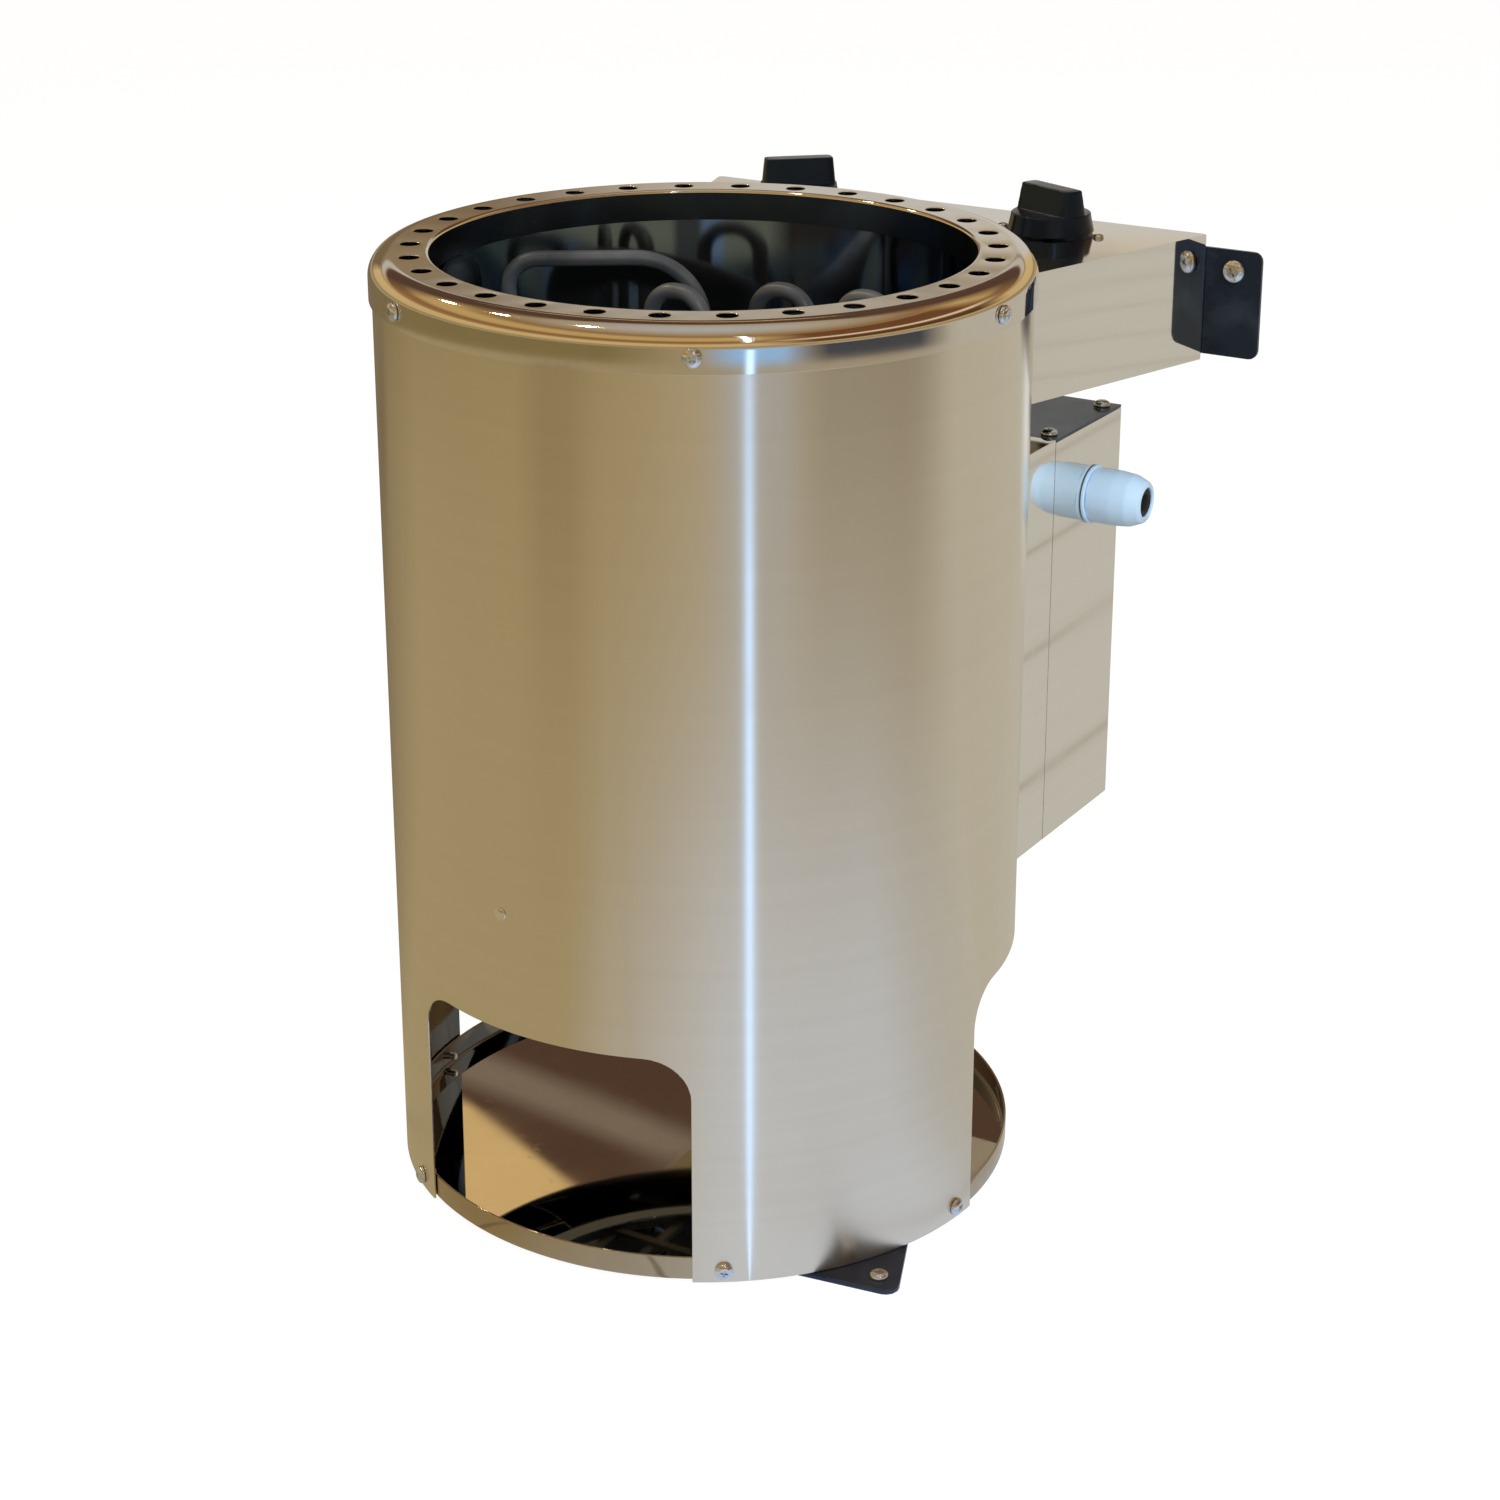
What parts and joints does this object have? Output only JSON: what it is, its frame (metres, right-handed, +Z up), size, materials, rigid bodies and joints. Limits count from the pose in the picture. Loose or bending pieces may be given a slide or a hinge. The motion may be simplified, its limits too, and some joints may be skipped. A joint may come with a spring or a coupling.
{
  "type": "electric sauna heater",
  "caption": "Round polished-steel sauna heater with a perforated rim, open stone chamber with tubular elements, a wall control box with turning knobs and a connection box.",
  "frame": {"origin": "centre of the object's plan at floor level", "axes": "+Z up, -Y to the front with its air vent, +Y to the wall, +X to the side with the cable gland"},
  "size_m": [0.366, 0.4266, 0.4803],
  "materials": {
    "polished_steel": "polished",
    "chamber_steel": "polished, dark",
    "element_steel": "heat-resisting, matt",
    "dark_steel": "gloss dark coat",
    "zinc_steel": "bright zinc",
    "black_plastic": "moulded, satin",
    "grey_plastic": "moulded, satin",
    "seal_rubber": "matt",
    "ceramic": "unglazed"
  },
  "bodies": {
    "heater": {"bottom_tray": "polished_steel", "bracket_screw_left": "zinc_steel", "bracket_screw_right": "zinc_steel", "chamber_strap_1": "polished_steel", "chamber_strap_2": "polished_steel", "chamber_strap_3": "polished_steel", "chamber_strap_4": "polished_steel", "control_floor": "polished_steel", "control_hood": "polished_steel", "foot_left": "dark_steel", "foot_left_screw": "zinc_steel", "foot_rear": "dark_steel", "foot_rear_screw": "zinc_steel", "foot_right": "dark_steel", "foot_right_screw": "zinc_steel", "gland_body": "grey_plastic", "gland_locknut": "grey_plastic", "gland_nut": "grey_plastic", "gland_seal": "seal_rubber", "heating_element_centre": "element_steel", "heating_element_left": "element_steel", "heating_element_right": "element_steel", "jacket": "polished_steel", "junction_base": "polished_steel", "junction_cover": "polished_steel", "junction_lid": "dark_steel", "leg_screw_1": "zinc_steel", "leg_screw_2": "zinc_steel", "leg_screw_3": "zinc_steel", "leg_screw_4": "zinc_steel", "lid_screw_1": "zinc_steel", "lid_screw_2": "zinc_steel", "lid_screw_3": "zinc_steel", "lid_screw_4": "zinc_steel", "overheat_cutout": "black_plastic", "rim_screw_1": "zinc_steel", "rim_screw_2": "zinc_steel", "rim_screw_3": "zinc_steel", "rim_screw_4": "zinc_steel", "rim_screw_5": "zinc_steel", "rim_screw_6": "zinc_steel", "stone_chamber": "chamber_steel", "stone_grate": "element_steel", "terminal_block": "ceramic", "thermostat_unit": "ceramic", "timer_unit": "ceramic", "top_rim": "polished_steel", "wall_bracket_left": "dark_steel", "wall_bracket_right": "dark_steel", "wall_screw_left": "zinc_steel", "wall_screw_right": "zinc_steel", "wire_sleeve": "zinc_steel"},
    "timer_dial": {"timer_knob": "black_plastic", "timer_shaft": "zinc_steel"},
    "thermostat_dial": {"thermostat_knob": "black_plastic", "thermostat_shaft": "zinc_steel"}
  },
  "joints": [
    {"name": "timer_turn", "type": "hinge", "parent": "heater", "child": "timer_dial", "pos_m": [-0.0775, 0.1733, 0.455], "axis": [0, 0, -1], "range_deg": [0, 330]},
    {"name": "thermostat_turn", "type": "hinge", "parent": "heater", "child": "thermostat_dial", "pos_m": [0.0775, 0.1733, 0.455], "axis": [0, 0, -1], "range_deg": [0, 270]}
  ]
}
